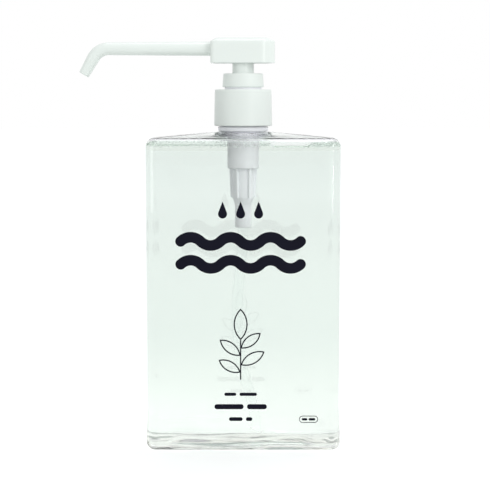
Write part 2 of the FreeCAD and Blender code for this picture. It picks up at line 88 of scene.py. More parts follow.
# The housing's section as radius and height, and the points that are rounded, with their radii.
HOUSING = (
    (0.00302, 0.1059), (0.0039, 0.1059), (0.0039, 0.1166), (0.0051, 0.1202), (0.0051, 0.134),
    (0.0075, 0.134), (0.0075, 0.1682), (0.0113, 0.1682), (0.0113, 0.1697), (0.0088, 0.1697),
    (0.0088, 0.1724), (0.0081, 0.1724), (0.0081, 0.1775), (0.00635, 0.1775), (0.00635, 0.1352),
    (0.0043, 0.1352), (0.0043, 0.1227), (0.0029, 0.1227), (0.0029, 0.1184), (0.0015, 0.117),
    (0.0015, 0.1146), (0.00302, 0.1146))
HOUSING_ROUNDS = {1: 0.0002, 2: 0.0004, 3: 0.0006, 5: 0.0005, 7: 0.0002, 8: 0.0002, 12: 0.0002}

# The dip tube: its straight start, then its bows as radius and turn in degrees, and its section.
TUBE_TOP, TUBE_STRAIGHT = 0.1146, 0.0087
TUBE_BOWS = ((0.154, -7.5), (0.180, 7.5), (0.120, 17.0), (0.098, -13.0))
TUBE_OUTER, TUBE_INNER, TUBE_AROUND = 0.003, 0.00225, 36
TUBE_SLANT, TUBE_SLANT_LENGTH = math.radians(25), 0.004

# The lamps: name of the power's setting, place, what it faces, and size.
LAMPS = (
    ("key", (0.75, -0.65, 0.75), (0, 0, 0.12), (0.5, 0.5)),
    ("fill", (-0.9, -0.7, 0.35), (0, 0, 0.12), (0.7, 0.7)),
    ("top", (0.15, 0.1, 1.1), (0, 0, 0.1), (0.6, 0.6)),
    ("strip", (0.52, -0.77, 0.28), (0, 0, 0.18), (0.03, 0.5)),
)

# How often light is followed: reflections inside the clear walls end black with fewer.
LIGHT_PATHS = {
    "max_bounces": 32, "glossy_bounces": 20, "transmission_bounces": 28,
    "transparent_max_bounces": 24, "sample_clamp_indirect": 1.5,
}


# Settings


def length(name, about, value):
    """A size in metres."""
    return FloatProperty(name=name, description=about, default=value, unit="LENGTH")


def power(name, about, value):
    """A lamp's power in watts."""
    return FloatProperty(name=name, description=about, default=value, unit="POWER")


def turn(name, about, degrees):
    """An angle, given here in degrees."""
    value = math.radians(degrees)
    return FloatProperty(name=name, description=about, default=value, subtype="ANGLE")


def shade(name, about, value):
    """A colour."""
    return FloatVectorProperty(
        name=name, description=about, default=value, subtype="COLOR", min=0, max=1)


class BodySettings(bpy.types.PropertyGroup):
    width: length("Width", "Body width", 0.0912)
    depth: length("Depth", "Body depth", 0.042)
    edge_z: length("Edge height", "Height of the level edge under the shoulder", 0.1489)
    rise: length("Shoulder rise", "Rise of the shoulder up to the neck", 0.0027)
    corner: length("Corner", "Radius of the upright corners", 0.005)
    top_round: length("Top round", "Radius of the edge under the shoulder", 0.0044)
    heel_round: length("Heel round", "Radius of the edge at the base", 0.0038)
    flare: length("Foot flare", "How far the foot stands out at each end", 0.0006)
    wall: length("Wall", "Wall thickness", 0.0009)
    floor: length("Floor", "Thickness of the floor", 0.0019)
    push_up: length("Push-up", "How far the base is pushed up", 0.0016)
    floor_wave: length("Floor wave", "Unevenness of the blown floor", 0.00035)
    tint: shade("Tint", "Colour of the clear plastic", (0.965, 0.985, 0.975))


class NeckSettings(bpy.types.PropertyGroup):
    radius: length("Radius", "Outside radius of the neck", 0.01075)
    bore: length("Bore", "Inside radius of the neck", 0.0093)
    height: length("Height", "Shoulder to lip", 0.0156)
    bead_radius: length("Bead radius", "Radius of the transfer bead", 0.012)
    bead_height: length("Bead height", "Height of the transfer bead", 0.0020)
    bead_gap: length("Bead gap", "Shoulder to bead", 0.0001)
    pitch: length("Thread pitch", "Pitch of the thread", 0.003175)
    turns: FloatProperty(name="Thread turns", description="Turns of the thread", default=1.5)
    thread: length("Thread depth", "Height of the thread over the neck", 0.00105)
    thread_start: length("Thread start", "Shoulder to the start of the thread", 0.006)


class SoapSettings(bpy.types.PropertyGroup):
    level: length("Level", "Height of the liquid", 0.1444)
    overlap: length("Overlap",
                    "How far the liquid reaches into the wall, so that no air film shows", 0.00006)
    meniscus: length("Meniscus", "Climb of the liquid at the walls", 0.0007)
    tint: shade("Tint", "Colour that the liquid takes with depth", (0.55, 0.86, 0.70))
    density: FloatProperty(name="Density",
                           description="How strongly the liquid is tinted, per metre", default=1.6)
    froth: length("Froth", "Depth of the froth-soaked layer", 0.0030)
    bubbles: IntProperty(name="Bubbles", description="Number of froth bubbles", default=420, min=0)
    seed: IntProperty(name="Seed", description="Seed of the froth", default=7)


class PumpSettings(bpy.types.PropertyGroup):
    closure_top: length("Closure top", "Radius of the closure at its top", 0.0135)
    closure_bottom: length("Closure bottom", "Radius of the closure at its bottom", 0.01385)
    closure_z: length("Closure height", "Height of the closure's lower edge", 0.1541)
    closure_top_z: length("Closure top height", "Height of the closure's top", 0.1713)
    ring_z: length("Ring height", "Height of the lock ring's lower edge", 0.1724)
    ring_top_z: length("Ring top", "Height of the lock ring's top", 0.1788)
    head_z: length("Head height", "Height of the underside of the head", 0.1837)
    head_length: length("Head length", "Length of the head", 0.0307)
    head_depth: length("Head depth", "Depth of the head", 0.015)
    head_tall: length("Head tall", "Height of the head itself", 0.012)
    head_round: length("Head round", "Height of the crown over the head's upper edge", 0.0015)
    spout_z: length("Spout height", "Height of the spout's axis", 0.1905)
    spout_reach: length("Spout reach", "Axis of the pump to the corner of the bend", 0.0687)
    spout_bend: length("Spout bend", "Radius of the bend", 0.0084)
    spout_angle: turn("Spout angle", "How far the end of the spout turns down", 60)
    spout_drop: length("Spout end", "Length of the straight end", 0.0093)
    plastic: shade("Plastic", "Colour of the white pump parts", (0.86, 0.905, 0.88))
    natural: shade("Natural plastic", "Colour of the pump's body", (0.935, 0.93, 0.975))


class PrintSettings(bpy.types.PropertyGroup):
    ink: shade("Ink", "Colour of the print", (0.0055, 0.0055, 0.0135))


class StudioSettings(bpy.types.PropertyGroup):
    key: power("Key", "Power of the lamp at the upper right", 3.1)
    fill: power("Fill", "Power of the lamp at the left", 1.3)
    top: power("Top", "Power of the lamp overhead", 2.6)
    strip: power("Strip", "Power of the upright strip lamp at the right", 0.75)
    ambient: FloatProperty(name="Ambient", description="Strength of the room's light", default=0.66)
    camera_y: length("Camera distance", "Camera to the pump's axis", 0.620)
    camera_x: length("Camera shift", "Camera to the right of the pump's axis", 0.00086)
    camera_z: length("Camera height", "Height of the camera", 0.1684)
    camera_tilt: turn("Camera tilt", "How far the camera looks down", 6.6)
    lens: FloatProperty(name="Lens", description="Focal length on a 36 mm square", default=94.9,
                        unit="CAMERA")


class BottleSettings(bpy.types.PropertyGroup):
    body: PointerProperty(type=BodySettings, name="Body", description="Bottle body")
    neck: PointerProperty(type=NeckSettings, name="Neck", description="Bottle neck")
    soap: PointerProperty(type=SoapSettings, name="Soap", description="Contents")
    pump: PointerProperty(type=PumpSettings, name="Pump", description="Pump and closure")
    decor: PointerProperty(type=PrintSettings, name="Print", description="Print on the front")
    studio: PointerProperty(type=StudioSettings, name="Studio", description="Lamps and camera")


# Helpers for meshes


def blend_rows(start, end, steps):
    """Rows from one row to another: start plus t times the difference, with t evenly spaced."""
    t = np.linspace(0, 1, steps)
    return start[None] + t[:, None, None] * (end - start)[None]


def smooth(t):
    """The smooth step of t between zero and one: three t squared less two t cubed."""
    return t * t * (3 - 2 * t)


def softened(points, radii, steps=6):
    """A closed outline with rounded corners. Each corner becomes an arc that touches both of its
    sides: the arc's centre lies on the bisector at radius over the sine of the half angle."""
    p = np.asarray(points, float)
    out = []
    for corner, before, after, r in zip(p, np.roll(p, 1, 0), np.roll(p, -1, 0), radii):
        u, w = before - corner, after - corner
        u, w = u / np.linalg.norm(u), w / np.linalg.norm(w)
        half = math.acos(np.clip(u @ w, -1, 1)) / 2
        if r <= 0 or half > math.radians(89.9):
            out.append(corner[None])
            continue
        centre = corner + (u + w) / np.linalg.norm(u + w) * r / math.sin(half)
        a = (corner + u * r / math.tan(half) - centre) / r
        b = (corner + w * r / math.tan(half) - centre) / r
        turn = math.pi - 2 * half
        s = np.linspace(0, 1, steps)[:, None]
        out.append(centre
                   + r * (np.sin((1 - s) * turn) * a + np.sin(s * turn) * b) / math.sin(turn))
    return np.concatenate(out)


def divided(outline, longest):
    """A closed outline with points added evenly on each side that is longer than the given length."""
    ends = np.roll(outline, -1, 0)
    counts = np.maximum(1, np.ceil(np.linalg.norm(ends - outline, axis=1) / longest)).astype(int)
    side = np.repeat(np.arange(len(outline)), counts)
    step = np.arange(len(side)) - np.repeat(np.cumsum(counts) - counts, counts)
    return outline[side] + (step / counts[side])[:, None] * (ends - outline)[side]


def turned(outline, around=AROUND):
    """A grid turned about Z: x is r times the cosine of the bearing, y is r times its sine."""
    r, z = np.asarray(outline, float).T
    t = np.arange(around) * 2 * np.pi / around
    return np.stack([r[:, None] * np.cos(t), r[:, None] * np.sin(t),
                     np.repeat(z[:, None], around, 1)], 2)


def carried(centres, headings, radii, around):
    """A round profile carried along a path in the XZ plane: the path's point plus r times the
    cosine of phi along the path's normal plus r times the sine of phi along Y."""
    phi = np.arange(around) * 2 * np.pi / around
    normal = np.stack([-np.sin(headings), np.zeros_like(headings), np.cos(headings)], 1)
    across = radii[:, None] * np.cos(phi)
    grid = centres[:, None] + across[:, :, None] * normal[:, None]
    grid[:, :, 1] += radii[:, None] * np.sin(phi)
    return grid


def grid_quads(rows, columns, loop):
    """Quads of a grid that closes round its columns, and also round its rows if it is a loop."""
    i = np.arange(rows if loop else rows - 1)
    j = np.arange(columns)
    i, j = np.meshgrid(i, j, indexing="ij")
    up, on = (i + 1) % rows, (j + 1) % columns
    corners = [i * columns + j, i * columns + on, up * columns + on, up * columns + j]
    return np.stack(corners, 2).reshape(-1, 4)


def piece(name, grids, material, body, replaced=(), sharp=38.0):
    """One mesh from several grids, each given as (points, closes on itself along its rows). Poles
    and seams are merged, and the faces are turned outwards."""
    points, quads, start = [], [], 0
    for grid, loop in grids:
        points.append(grid.reshape(-1, 3))
        quads.append(grid_quads(grid.shape[0], grid.shape[1], loop) + start)
        start += len(points[-1])
    mesh = solid_mesh(name, np.concatenate(points), np.concatenate(quads))
    return finished(name, mesh, material, body, replaced, sharp)


def solid_mesh(name, points, quads):
    """A mesh of quads, set as whole arrays, then merged at its poles and turned outwards."""
    mesh = bpy.data.meshes.new(name)
    mesh.vertices.add(len(points))
    mesh.vertices.foreach_set("co", points.astype(np.float32).ravel())
    mesh.loops.add(quads.size)
    mesh.loops.foreach_set("vertex_index", quads.astype(np.int32).ravel())
    mesh.polygons.add(len(quads))
    mesh.polygons.foreach_set("loop_start", np.arange(0, quads.size, 4, dtype=np.int32))
    mesh.polygons.foreach_set("loop_total", np.full(len(quads), 4, np.int32))
    mesh.update(calc_edges=True)
    work = bmesh.new()
    work.from_mesh(mesh)
    bmesh.ops.remove_doubles(work, verts=work.verts, dist=1e-7)
    bmesh.ops.dissolve_degenerate(work, edges=work.edges, dist=1e-8)
    bmesh.ops.recalc_face_normals(work, faces=work.faces)
    work.to_mesh(mesh)
    work.free()
    return mesh


def placed(name, data):
    """A new object in the scene, for a mesh, a lamp or a camera."""
    made = bpy.data.objects.new(name, data)
    bpy.context.scene.collection.objects.link(made)
    return made


def finished(name, mesh, material, body, replaced, sharp):
    """Smooth shading with sharp edges, a material, and a place in the frame."""
    mesh.polygons.foreach_set("use_smooth", np.ones(len(mesh.polygons), bool))
    mesh.set_sharp_from_angle(angle=math.radians(sharp))
    mesh.materials.append(material)
    made = placed(name, mesh)
    if body:
        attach(made, body)
    if replaced:
        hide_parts(*replaced)
    return made


def outline_ring(half_x, half_y, corner):
    """Points of a rounded rectangle, from the right-hand side's middle of its back corner round.
    Each corner is a quarter circle and each side is divided evenly, so all rings pair up."""
    t = np.linspace(0, np.pi / 2, CORNER_STEPS + 1)
    x, y = half_x - corner, half_y - corner
    signs = ((1, 1), (-1, 1), (-1, -1), (1, -1))
    rings = []
    for i, (sx, sy) in enumerate(signs):
        a = t + i * np.pi / 2
        arc = np.stack([sx * x + corner * np.cos(a), sy * y + corner * np.sin(a)], 1)
        nx, ny = signs[(i + 1) % 4]
        b = (i + 1) * np.pi / 2
        target = np.array([nx * x + corner * np.cos(b), ny * y + corner * np.sin(b)])
        steps = LONG_STEPS if i % 2 == 0 else SHORT_STEPS
        s = np.arange(1, steps)[:, None] / steps
        rings.append(np.concatenate([arc, arc[-1] + s * (target - arc[-1])]))
    return np.concatenate(rings)


def level(ring, z):
    """A flat ring lifted to a height."""
    return np.concatenate([ring, np.full((len(ring), 1), z)], 1)


def circle_ring(radius, bearings, z):
    """A level circle with its points at the given bearings."""
    return level(np.stack([radius * np.cos(bearings), radius * np.sin(bearings)], 1), z)


def circle_rows(bearings, points):
    """Level circles, one for each radius and height."""
    return np.stack([circle_ring(r, bearings, z) for r, z in points])


def thread_height(theta, z, neck, start_z):
    """Share of the thread's depth at a bearing and a height. The ridge's centre climbs one pitch a
    turn. Its section is a trapezium, and it fades in and out over a tenth of a turn."""
    foot, crest, fade = 0.0013, 0.0006, 0.08
    climb = (z - start_z) / neck.pitch - theta / (2 * np.pi)
    turn = np.round(climb)
    along = theta / (2 * np.pi) + turn
    off = np.abs(climb - turn) * neck.pitch
    section = np.clip((foot / 2 - off) / ((foot - crest) / 2), 0, 1)
    ends = np.clip(np.minimum(along, neck.turns - along) / fade, 0, 1)
    return section * ends


# Materials


def new_group(name, inputs, outputs):
    """A shader node group with named sockets, given as (name, kind, default)."""
    group = bpy.data.node_groups.new(name, "ShaderNodeTree")
    for title, kind, default in inputs:
        socket = group.interface.new_socket(name=title, in_out="INPUT", socket_type=kind)
        socket.default_value = default
    for title, kind in outputs:
        group.interface.new_socket(name=title, in_out="OUTPUT", socket_type=kind)
    entry = group.nodes.new("NodeGroupInput")
    result = group.nodes.new("NodeGroupOutput")
    return group, entry, result


def node(tree, kind, **values):
    """A node with its properties set, and its inputs set by index or name where the key is inputs."""
    made = tree.nodes.new(kind)
    inputs = values.pop("inputs", {})
    for key, value in values.items():
        setattr(made, key, value)
    for key, value in inputs.items():
        made.inputs[key].default_value = value
    return made


def connect(source, out, target, into):
    """Links one node's output to another's input, each given by name or number."""
    source.id_data.links.new(source.outputs[out], target.inputs[into])


def new_material(name, **sockets):
    """A material, its node tree and its shader, with the shader's sockets set by their names."""
    material = bpy.data.materials.new(name)
    material.use_nodes = True
    shader = material.node_tree.nodes["Principled BSDF"]
    for key, value in sockets.items():
        shader.inputs[key.replace("_", " ")].default_value = value
    return material, material.node_tree, shader


def moulded_grain():
    """Moulded plastic: a faint cloudiness of the colour, an uneven gloss and a fine surface grain.
    Colour is the base times one plus a noise, and the normal is a bump of two noises."""
    old = bpy.data.node_groups.get("moulded_grain")
    if old:
        return old
    group, entry, result = new_group(
        "moulded_grain",
        [("Colour", "NodeSocketColor", (0.8, 0.8, 0.8, 1)), ("Cloud", "NodeSocketFloat", 0.03),
         ("Gloss", "NodeSocketFloat", 0.3), ("Gloss spread", "NodeSocketFloat", 0.06),
         ("Grain", "NodeSocketFloat", 0.1), ("Grain scale", "NodeSocketFloat", 2600.0),
         ("Wave", "NodeSocketFloat", 0.1)],
        [("Colour", "NodeSocketColor"), ("Roughness", "NodeSocketFloat"),
         ("Normal", "NodeSocketVector")],
    )
    where = node(group, "ShaderNodeTexCoord")
    cloud = node(group, "ShaderNodeTexNoise", inputs={"Scale": 70.0, "Detail": 3.0})
    grain = node(group, "ShaderNodeTexNoise", inputs={"Detail": 2.0})
    wave = node(group, "ShaderNodeTexNoise", inputs={"Scale": 120.0, "Detail": 1.0})
    for texture in (cloud, grain, wave):
        connect(where, "Object", texture, "Vector")
    connect(entry, "Grain scale", grain, "Scale")
    spread = node(group, "ShaderNodeMapRange",
                  inputs={"From Min": 0.3, "From Max": 0.7, "To Min": -1.0, "To Max": 1.0})
    connect(cloud, "Fac", spread, "Value")
    shade = node(group, "ShaderNodeMath", operation="MULTIPLY_ADD", inputs={2: 1.0})
    connect(spread, "Result", shade, 0)
    connect(entry, "Cloud", shade, 1)
    tint = node(group, "ShaderNodeVectorMath", operation="SCALE")
    connect(entry, "Colour", tint, 0)
    connect(shade, 0, tint, "Scale")
    connect(tint, "Vector", result, "Colour")
    gloss = node(group, "ShaderNodeMath", operation="MULTIPLY_ADD")
    connect(spread, "Result", gloss, 0)
    connect(entry, "Gloss spread", gloss, 1)
    connect(entry, "Gloss", gloss, 2)
    connect(gloss, 0, result, "Roughness")
    fine = node(group, "ShaderNodeBump", inputs={"Distance": 0.00002})
    connect(entry, "Grain", fine, "Strength")
    connect(grain, "Fac", fine, "Height")
    broad = node(group, "ShaderNodeBump", inputs={"Distance": 0.0002})
    connect(entry, "Wave", broad, "Strength")
    connect(wave, "Fac", broad, "Height")
    connect(fine, "Normal", broad, "Normal")
    connect(broad, "Normal", result, "Normal")
    return group


def plastic(name, colour, gloss, share=0, cloud=0.02, grain=0.08, wave=0.05, **sockets):
    """An opaque or milky plastic: the grain group feeds colour, roughness and normal. A share of
    the lamps' light passes through it."""
    old = bpy.data.materials.get(name)
    if old:
        return old
    material, tree, shader = new_material(name, **sockets)
    values = {"Colour": (*colour, 1), "Gloss": gloss, "Cloud": cloud, "Grain": grain, "Wave": wave}
    group = node(tree, "ShaderNodeGroup", node_tree=moulded_grain(), inputs=values)
    for out, into in (("Colour", "Base Color"), ("Roughness", "Roughness"), ("Normal", "Normal")):
        connect(group, out, shader, into)
    if share:
        lets_light_in(tree, shader, share)
    return material


def lets_light_in(tree, shader, share):
    """Lets a share of the lamps' light pass straight through a clear or milky surface, so that what
    stands inside it is lit. Camera, mirror and clear rays see the shader alone."""
    path = node(tree, "ShaderNodeLightPath")
    part = node(tree, "ShaderNodeMath", operation="MULTIPLY", inputs={1: share})
    through = node(tree, "ShaderNodeBsdfTransparent")
    mix = node(tree, "ShaderNodeMixShader")
    connect(path, "Is Shadow Ray", part, 0)
    connect(part, 0, mix, 0)
    connect(shader, "BSDF", mix, 1)
    connect(through, "BSDF", mix, 2)
    connect(mix, "Shader", tree.nodes["Material Output"], "Surface")


def clear_plastic(settings):
    """Clear blown plastic: full transmission, a near-smooth gloss and a broad faint waviness."""
    material, tree, shader = new_material(
        "clear_blown_plastic", Transmission_Weight=1.0, IOR=1.57, Roughness=0.0,
        Base_Color=(*settings.tint, 1))
    where = node(tree, "ShaderNodeTexCoord")
    stretch = node(tree, "ShaderNodeMapping", inputs={"Scale": (1.0, 1.0, 0.35)})
    connect(where, "Object", stretch, "Vector")
    wave = node(tree, "ShaderNodeTexNoise", inputs={"Scale": 55.0, "Detail": 1.0})
    connect(stretch, "Vector", wave, "Vector")
    bump = node(tree, "ShaderNodeBump", inputs={"Strength": 0.12, "Distance": 0.0001})
    connect(wave, "Fac", bump, "Height")
    connect(bump, "Normal", shader, "Normal")
    lets_light_in(tree, shader, 1.0)
    return material


def clear_soap(settings, body):
    """Clear liquid: full transmission and a tint that grows with depth. Its surface colour is a height ramp
    of painted shade, lighter near the foot and a little greyer towards the top."""
    material, tree, shader = new_material(
        "clear_soap", Transmission_Weight=1.0, IOR=1.36, Roughness=0.0)
    where = node(tree, "ShaderNodeTexCoord")
    parts = node(tree, "ShaderNodeSeparateXYZ")
    connect(where, "Object", parts, "Vector")
    height = node(tree, "ShaderNodeMapRange", inputs={"From Max": body.edge_z})
    connect(parts, "Z", height, "Value")
    # Painted shade: the surface colour is lighter near the foot and greyer towards the top.
    ramp = node(tree, "ShaderNodeValToRGB")
    steps = ramp.color_ramp.elements
    steps[0].color, steps[0].position = (1.0, 0.99, 0.975, 1), 0.10
    steps[1].color = (0.82, 0.842, 0.815, 1)
    for share, colour in SOAP_PAINTED_SHADE:
        steps.new(share).color = colour
    connect(height, "Result", ramp, "Fac")
    connect(ramp, "Color", shader, "Base Color")
    values = {"Color": (*settings.tint, 1), "Density": settings.density}
    depth = node(tree, "ShaderNodeVolumeAbsorption", inputs=values)
    connect(depth, "Volume", tree.nodes["Material Output"], "Volume")
    lets_light_in(tree, shader, 1.0)
    return material


def froth_air():
    """Air in a froth bubble, seen from inside the liquid: its index is below one."""
    material, tree, shader = new_material(
        "froth_air", Transmission_Weight=1.0, IOR=0.84, Roughness=0.0,
        Base_Color=(0.985, 0.995, 0.99, 1))
    lets_light_in(tree, shader, 0.9)
    return material


def screen_ink(colour):
    """Screen ink: near-black navy with a slightly uneven gloss and a faint mesh of the screen."""
    return plastic(
        "screen_ink", colour, 0.42, cloud=0.12, grain=0.25, wave=0.02, Specular_IOR_Level=0.08)


def steel():
    """Drawn steel wire: bright metal with a fine grain."""
    return plastic("drawn_steel", (0.62, 0.62, 0.63), 0.28, cloud=0.05, grain=0.3, wave=0.0,
                   Metallic=1.0)


def neck_plastic():
    """The thick, unblown neck of the same clear plastic, drawn milky: its pale bluish grey is painted shade
    and painted reflection of the closure over it."""
    return plastic("thick_neck_plastic", (0.88, 0.885, 0.93), 0.2, share=0.6, cloud=0.04,
                   grain=0.0, wave=0.1)


def white_plastic(pump):
    """Satin white plastic of the closure and the lock ring, thin enough to let some light through. Its
    colour is the pump's white made a little darker, as painted shade under the head.
    """
    # Painted shade: the closure's copy of the white is darker than the head's.
    painted_shade_factor = 0.955
    shaded_satin = tuple(painted_shade_factor * c for c in pump.plastic)
    return plastic("white_moulded_plastic", shaded_satin, 0.42, share=0.3, cloud=0.012, grain=0.03,
                   wave=0.03)


def glossy_plastic(pump):
    """The same plastic with the polished surface of the head and the spout."""
    return plastic("white_polished_plastic", pump.plastic, 0.20, cloud=0.008, grain=0.0, wave=0.02)


def natural_plastic(pump):
    """The milky plastic of the pump's housing."""
    return plastic("natural_moulded_plastic", pump.natural, 0.45, share=0.5, cloud=0.03)


# Bottle and soap


def base_rows(body, inset, z):
    """Rings of the pushed-up base, from its middle out to the start of the heel. The height is the
    push-up times a smooth step of the way across the sloping rim."""
    margin = BASE_RIM - inset
    flat_x, flat_y = body.width / 2 - margin - 0.009, body.depth / 2 - margin - 0.0045
    rim_x, rim_y = body.width / 2 - margin, body.depth / 2 - margin
    middle = level(outline_ring(flat_x, flat_y, body.corner / 2), z + body.push_up)
    rim = level(outline_ring(rim_x, rim_y, body.corner), z)
    pole = middle * np.array([0.0, 0.0, 1.0])
    inner = blend_rows(pole, middle, 12)
    t = np.linspace(0, 1, 12)[1:, None, None]
    slope = middle[None] + t * (rim - middle)[None]
    slope[:, :, 2] = z + body.push_up * (1 - smooth(t)[:, :, 0])
    return np.concatenate([inner, slope])


def side_rows(body, inset, floor_z, flare=0):
    """Rings of the heel, the sides and the edge under the shoulder. Each round is a quarter circle:
    the inset is r times one minus the sine, and the height r times one minus the cosine."""
    half_x, half_y = body.width / 2 - inset, body.depth / 2 - inset
    corner, top = body.corner - inset, body.top_round - inset
    heel_r = body.heel_round - inset
    a = np.linspace(0, np.pi / 2, 8)
    heel_in, heel_z = heel_r * (1 - np.sin(a)), floor_z + heel_r * (1 - np.cos(a))
    wall_z = np.concatenate([[0.008], np.linspace(0.009, 0.021, 7),
                             np.linspace(0.03, body.edge_z - inset - top, 12)])
    top_in, top_z = top * (1 - np.cos(a)), body.edge_z - inset - top + top * np.sin(a)
    ins = np.concatenate([heel_in, np.zeros(len(wall_z)), top_in[1:]])
    z = np.concatenate([heel_z, wall_z, top_z[1:]])
    out = flare * np.clip((0.021 - z) / 0.013, 0, 1)
    rows = [level(outline_ring(half_x + o - d, half_y - d, max(corner - d, 0.0003)), h) for d, o,
            h in zip(ins, out, z)]
    return np.stack(rows)


def shoulder_rows(body, inset, radius):
    """Rings of the low hip roof: straight lines from the flat's outline to a circle."""
    edge = body.top_round
    flat = outline_ring(body.width / 2 - edge, body.depth / 2 - edge, body.corner - edge)
    lower = level(flat, body.edge_z - inset)
    upper = circle_ring(radius, np.arctan2(flat[:, 1], flat[:, 0]), body.edge_z + body.rise - inset)
    return blend_rows(lower, upper, 14)


def neck_rows(body, neck, bearings):
    """Rings of the neck outside: the bead with round edges, then the wall with its thread. The
    thick root under the shoulder is added by the operator."""
    root = body.edge_z + body.rise
    low, high = root + neck.bead_gap, root + neck.bead_gap + neck.bead_height
    soft = 0.0003
    a = np.linspace(0, np.pi / 2, 5)
    bead_r = np.concatenate([[neck.radius], neck.bead_radius - soft * (1 - np.sin(a)),
                             neck.bead_radius - soft * (1 - np.cos(a)), [neck.radius]])
    bead_z = np.concatenate([[low], low + soft * (1 - np.cos(a)), high - soft * (1 - np.sin(a)),
                             [high]])
    lip = root + neck.height
    wall_z = np.linspace(high + 0.0003, lip - 0.0005, 62)
    start = root + neck.thread_start
    theta, z = np.meshgrid(bearings % (2 * np.pi), wall_z)
    radius = neck.radius + neck.thread * thread_height(theta, z, neck, start)
    wall = np.stack([radius * np.cos(theta), radius * np.sin(theta), z], 2)
    edge = 0.0004
    lip_r = np.concatenate([neck.radius - edge * (1 - np.cos(a)),
                            neck.bore + edge * (1 - np.sin(a))])
    lip_z = np.concatenate([lip - edge * (1 - np.sin(a)), lip - edge * (1 - np.cos(a))])
    bead, rim = circle_rows(bearings, zip(bead_r, bead_z)), circle_rows(bearings, zip(lip_r, lip_z))
    return np.concatenate([bead, wall, rim])


def wavy_floor(grid, size):
    """Unevenness of the blown floor: two crossing sine waves, which fade out above the heel."""
    x, y, z = grid[..., 0], grid[..., 1], grid[..., 2]
    wave = (np.sin(x * 130 + 1.2 * np.sin(y * 160)) + 0.7 * np.sin(x * 61 - y * 210 + 1.0)
            + 0.5 * np.sin(y * 340 + x * 40))
    grid[..., 2] = z + size * wave * np.clip((0.009 - z) / 0.006, 0, 1)
    return grid


def wavy_base(grid, body):
    """Unevenness of the base seen from below: three long waves that cross, and none at the rim. It
    grows with the push-up, so the bottle still stands on its level rim."""
    x, y, z = grid[..., 0], grid[..., 1], grid[..., 2]
    wave = (np.sin(x * 95 + y * 60 + 0.6) + 0.8 * np.sin(x * 58 - y * 130)
            + 0.5 * np.sin(x * 170 + y * 40 + 2.0))
    grid[..., 2] = z + 0.9 * body.floor_wave * wave * np.clip(z / body.push_up, 0, 1)
    return grid


class PUMPBOTTLE_OT_bottle(bpy.types.Operator):
    """Build the clear bottle: one closed shell with its outside, lip and inside"""

    bl_idname = "pump_bottle.bottle"
    bl_label = "Clear bottle"

    def execute(self, context):
        s = context.scene.pump_bottle
        body, neck = s.body, s.neck
        outside = [wavy_base(base_rows(body, 0, 0), body), side_rows(body, 0, 0, body.flare)[1:],
                   shoulder_rows(body, 0, neck.radius)[1:]]
        flat = outside[-1][-1]
        bearings = np.arctan2(flat[:, 1], flat[:, 0])
        inside = [base_rows(body, body.wall, body.floor),
                  side_rows(body, body.wall, body.floor)[1:],
                  shoulder_rows(body, body.wall, neck.bore)[1:]]
        inside = wavy_floor(np.concatenate(inside), body.floor_wave)
        shell = np.concatenate(outside + [inside[::-1]])
        piece("bottle_shell", [(shell, False)], clear_plastic(body), "bottle",
              ("bottle",), sharp=50)
        root = body.edge_z + body.rise
        under, foot = root - body.wall, root - 0.0027
        thick = neck.radius + 2 * HAIR
        skirt = [(neck.bore - HAIR, under), (neck.bore - HAIR, foot), (thick, foot),
                 (thick, under - 4 * HAIR), (neck.bore + HAIR, under - 2 * HAIR),
                 (neck.radius, root - body.wall / 8)]
        finish = np.concatenate([neck_rows(body, neck, bearings), circle_rows(bearings, skirt)])
        piece("bottle_neck", [(finish, True)], neck_plastic(), "bottle",
              ("bottle",), sharp=50)
        return {"FINISHED"}


def froth_places(soap, body):
    """Centres and radii of the froth, seeded: a fine band on the left and round the back, and larger
    bubbles in the right-hand end. The air pocket on the right stays clear."""
    rng = np.random.default_rng(soap.seed)
    count = soap.bubbles
    left = int(count * 0.7)
    right = count - left
    x = np.concatenate([rng.uniform(-0.043, 0.011, left), rng.uniform(0.0325, 0.043, right)])
    y = np.concatenate([rng.choice([-1, 1], left) * rng.uniform(0.0115, 0.0188, left),
                        rng.uniform(-0.0188, 0.0188, right)])
    r = np.concatenate([rng.uniform(0.00018, 0.00042, left), rng.uniform(0.0003, 0.00078, right)])
    z = soap.level + np.concatenate([rng.uniform(0.0001, 0.0023, left),
                                     rng.uniform(0.0004, 0.0020, right)])
    return x, y, z, r


def distance_in(body, inset, x, y):
    """Distance of a point to the nearest inner wall, from the two half sizes."""
    return np.minimum(body.width / 2 - inset - np.abs(x), body.depth / 2 - inset - np.abs(y))


def froth_rise(soap, x):
    """How far the froth-soaked liquid stands over its level: full on the left and in the right-hand
    end, and none in the air pocket between them. The steps are smooth ones."""
    left = np.clip((0.0140 - x) / 0.0022, 0, 1)
    right = np.clip((x - 0.0305) / 0.0020, 0, 1)
    return soap.froth * (smooth(left) + 0.8 * smooth(right))


def froth_balls(soap, body):
    """Every bubble as a ball, worked out together as whole arrays: centre plus radius times the
    sines and cosines of two angles."""
    x, y, z, r = froth_places(soap, body)
    u = np.linspace(0, np.pi, 9)[:, None]
    v = np.arange(12) * 2 * np.pi / 12
    ball = np.stack([np.sin(u) * np.cos(v), np.sin(u) * np.sin(v), np.cos(u) + 0 * v], 2)
    centre = np.stack([x, y, z], 1)[:, None, None]
    return centre + ball[None] * r[:, None, None, None]


